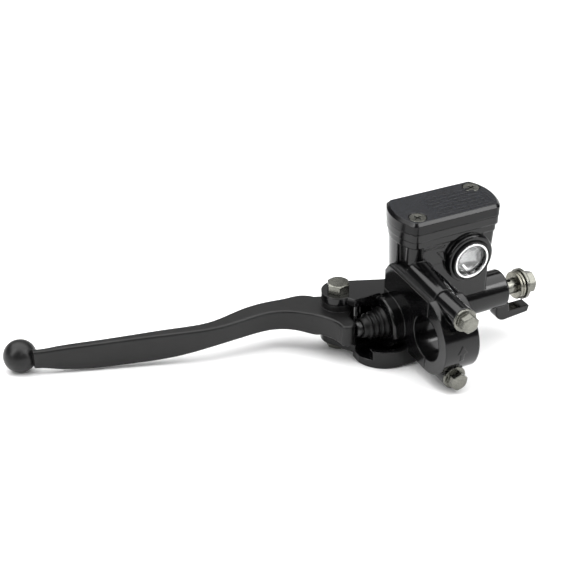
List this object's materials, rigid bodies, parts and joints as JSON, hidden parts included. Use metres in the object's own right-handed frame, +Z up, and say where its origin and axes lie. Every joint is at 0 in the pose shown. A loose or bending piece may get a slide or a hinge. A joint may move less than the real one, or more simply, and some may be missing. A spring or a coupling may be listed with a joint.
{
  "type": "handlebar brake master cylinder",
  "caption": "Motorcycle front brake master cylinder with box reservoir, round sight glass, two-piece handlebar clamp, ball-ended lever and outlet banjo bolt.",
  "frame": {"origin": "centre of the handlebar clamp's bore", "axes": "+X along the handlebar towards the outlet banjo bolt, +Y away from the rider, +Z up through the reservoir cover; the lever reaches towards -X"},
  "size_m": [0.2611, 0.1109, 0.075],
  "materials": {
    "body_paint": "gloss black",
    "lever_paint": "satin charcoal",
    "cover_paint": "fine textured black",
    "zinc_steel": "olive grey zinc plate",
    "plain_steel": "ground",
    "crush_washer": "bright",
    "bezel_black": "satin black",
    "ring_bright": "polished",
    "clear_lens": "clear",
    "reflector": "bright grey",
    "piston_metal": "anodised",
    "rubber_black": "matt",
    "plate_plastic": "matt",
    "bush_brass": "plain"
  },
  "bodies": {
    "body": {"master_cylinder_body": "body_paint", "clamp_cap": "body_paint", "clamp_bolts": "zinc_steel", "reservoir_cover": "cover_paint", "cover_screws": "zinc_steel", "diaphragm": "rubber_black", "diaphragm_plate": "plate_plastic", "port_baffle": "plain_steel", "sight_glass_bezel": "bezel_black", "sight_glass_ring": "ring_bright", "sight_glass_lens": "clear_lens", "sight_glass_reflector": "reflector", "pivot_bolt": "zinc_steel", "pivot_nut": "zinc_steel", "return_spring": "plain_steel", "stop_washer": "plain_steel", "circlip": "plain_steel", "dust_boot": "rubber_black", "banjo_bolt": "zinc_steel", "banjo_washers": "crush_washer"},
    "lever": {"lever": "lever_paint", "pivot_bush": "bush_brass"},
    "piston": {"piston": "piston_metal", "primary_cup": "rubber_black", "secondary_cup": "rubber_black", "spring_seat": "plain_steel"}
  },
  "joints": [
    {"name": "lever_pivot", "type": "hinge", "parent": "body", "child": "lever", "pos_m": [-0.0302, 0.048, -0.0085], "axis": [0, 0, 1], "range_deg": [0, 18], "stiffness_Nm_per_rad": 1, "springref_deg": -11.46},
    {"name": "piston_slide", "type": "slide", "parent": "body", "child": "piston", "axis": [1, 0, 0], "range_m": [0, 0.0056], "deforming": ["return_spring", "dust_boot"]}
  ],
  "couplings": [
    {"joint": "piston_slide", "follows": "lever_pivot", "m_per_rad": 0.0169}
  ]
}
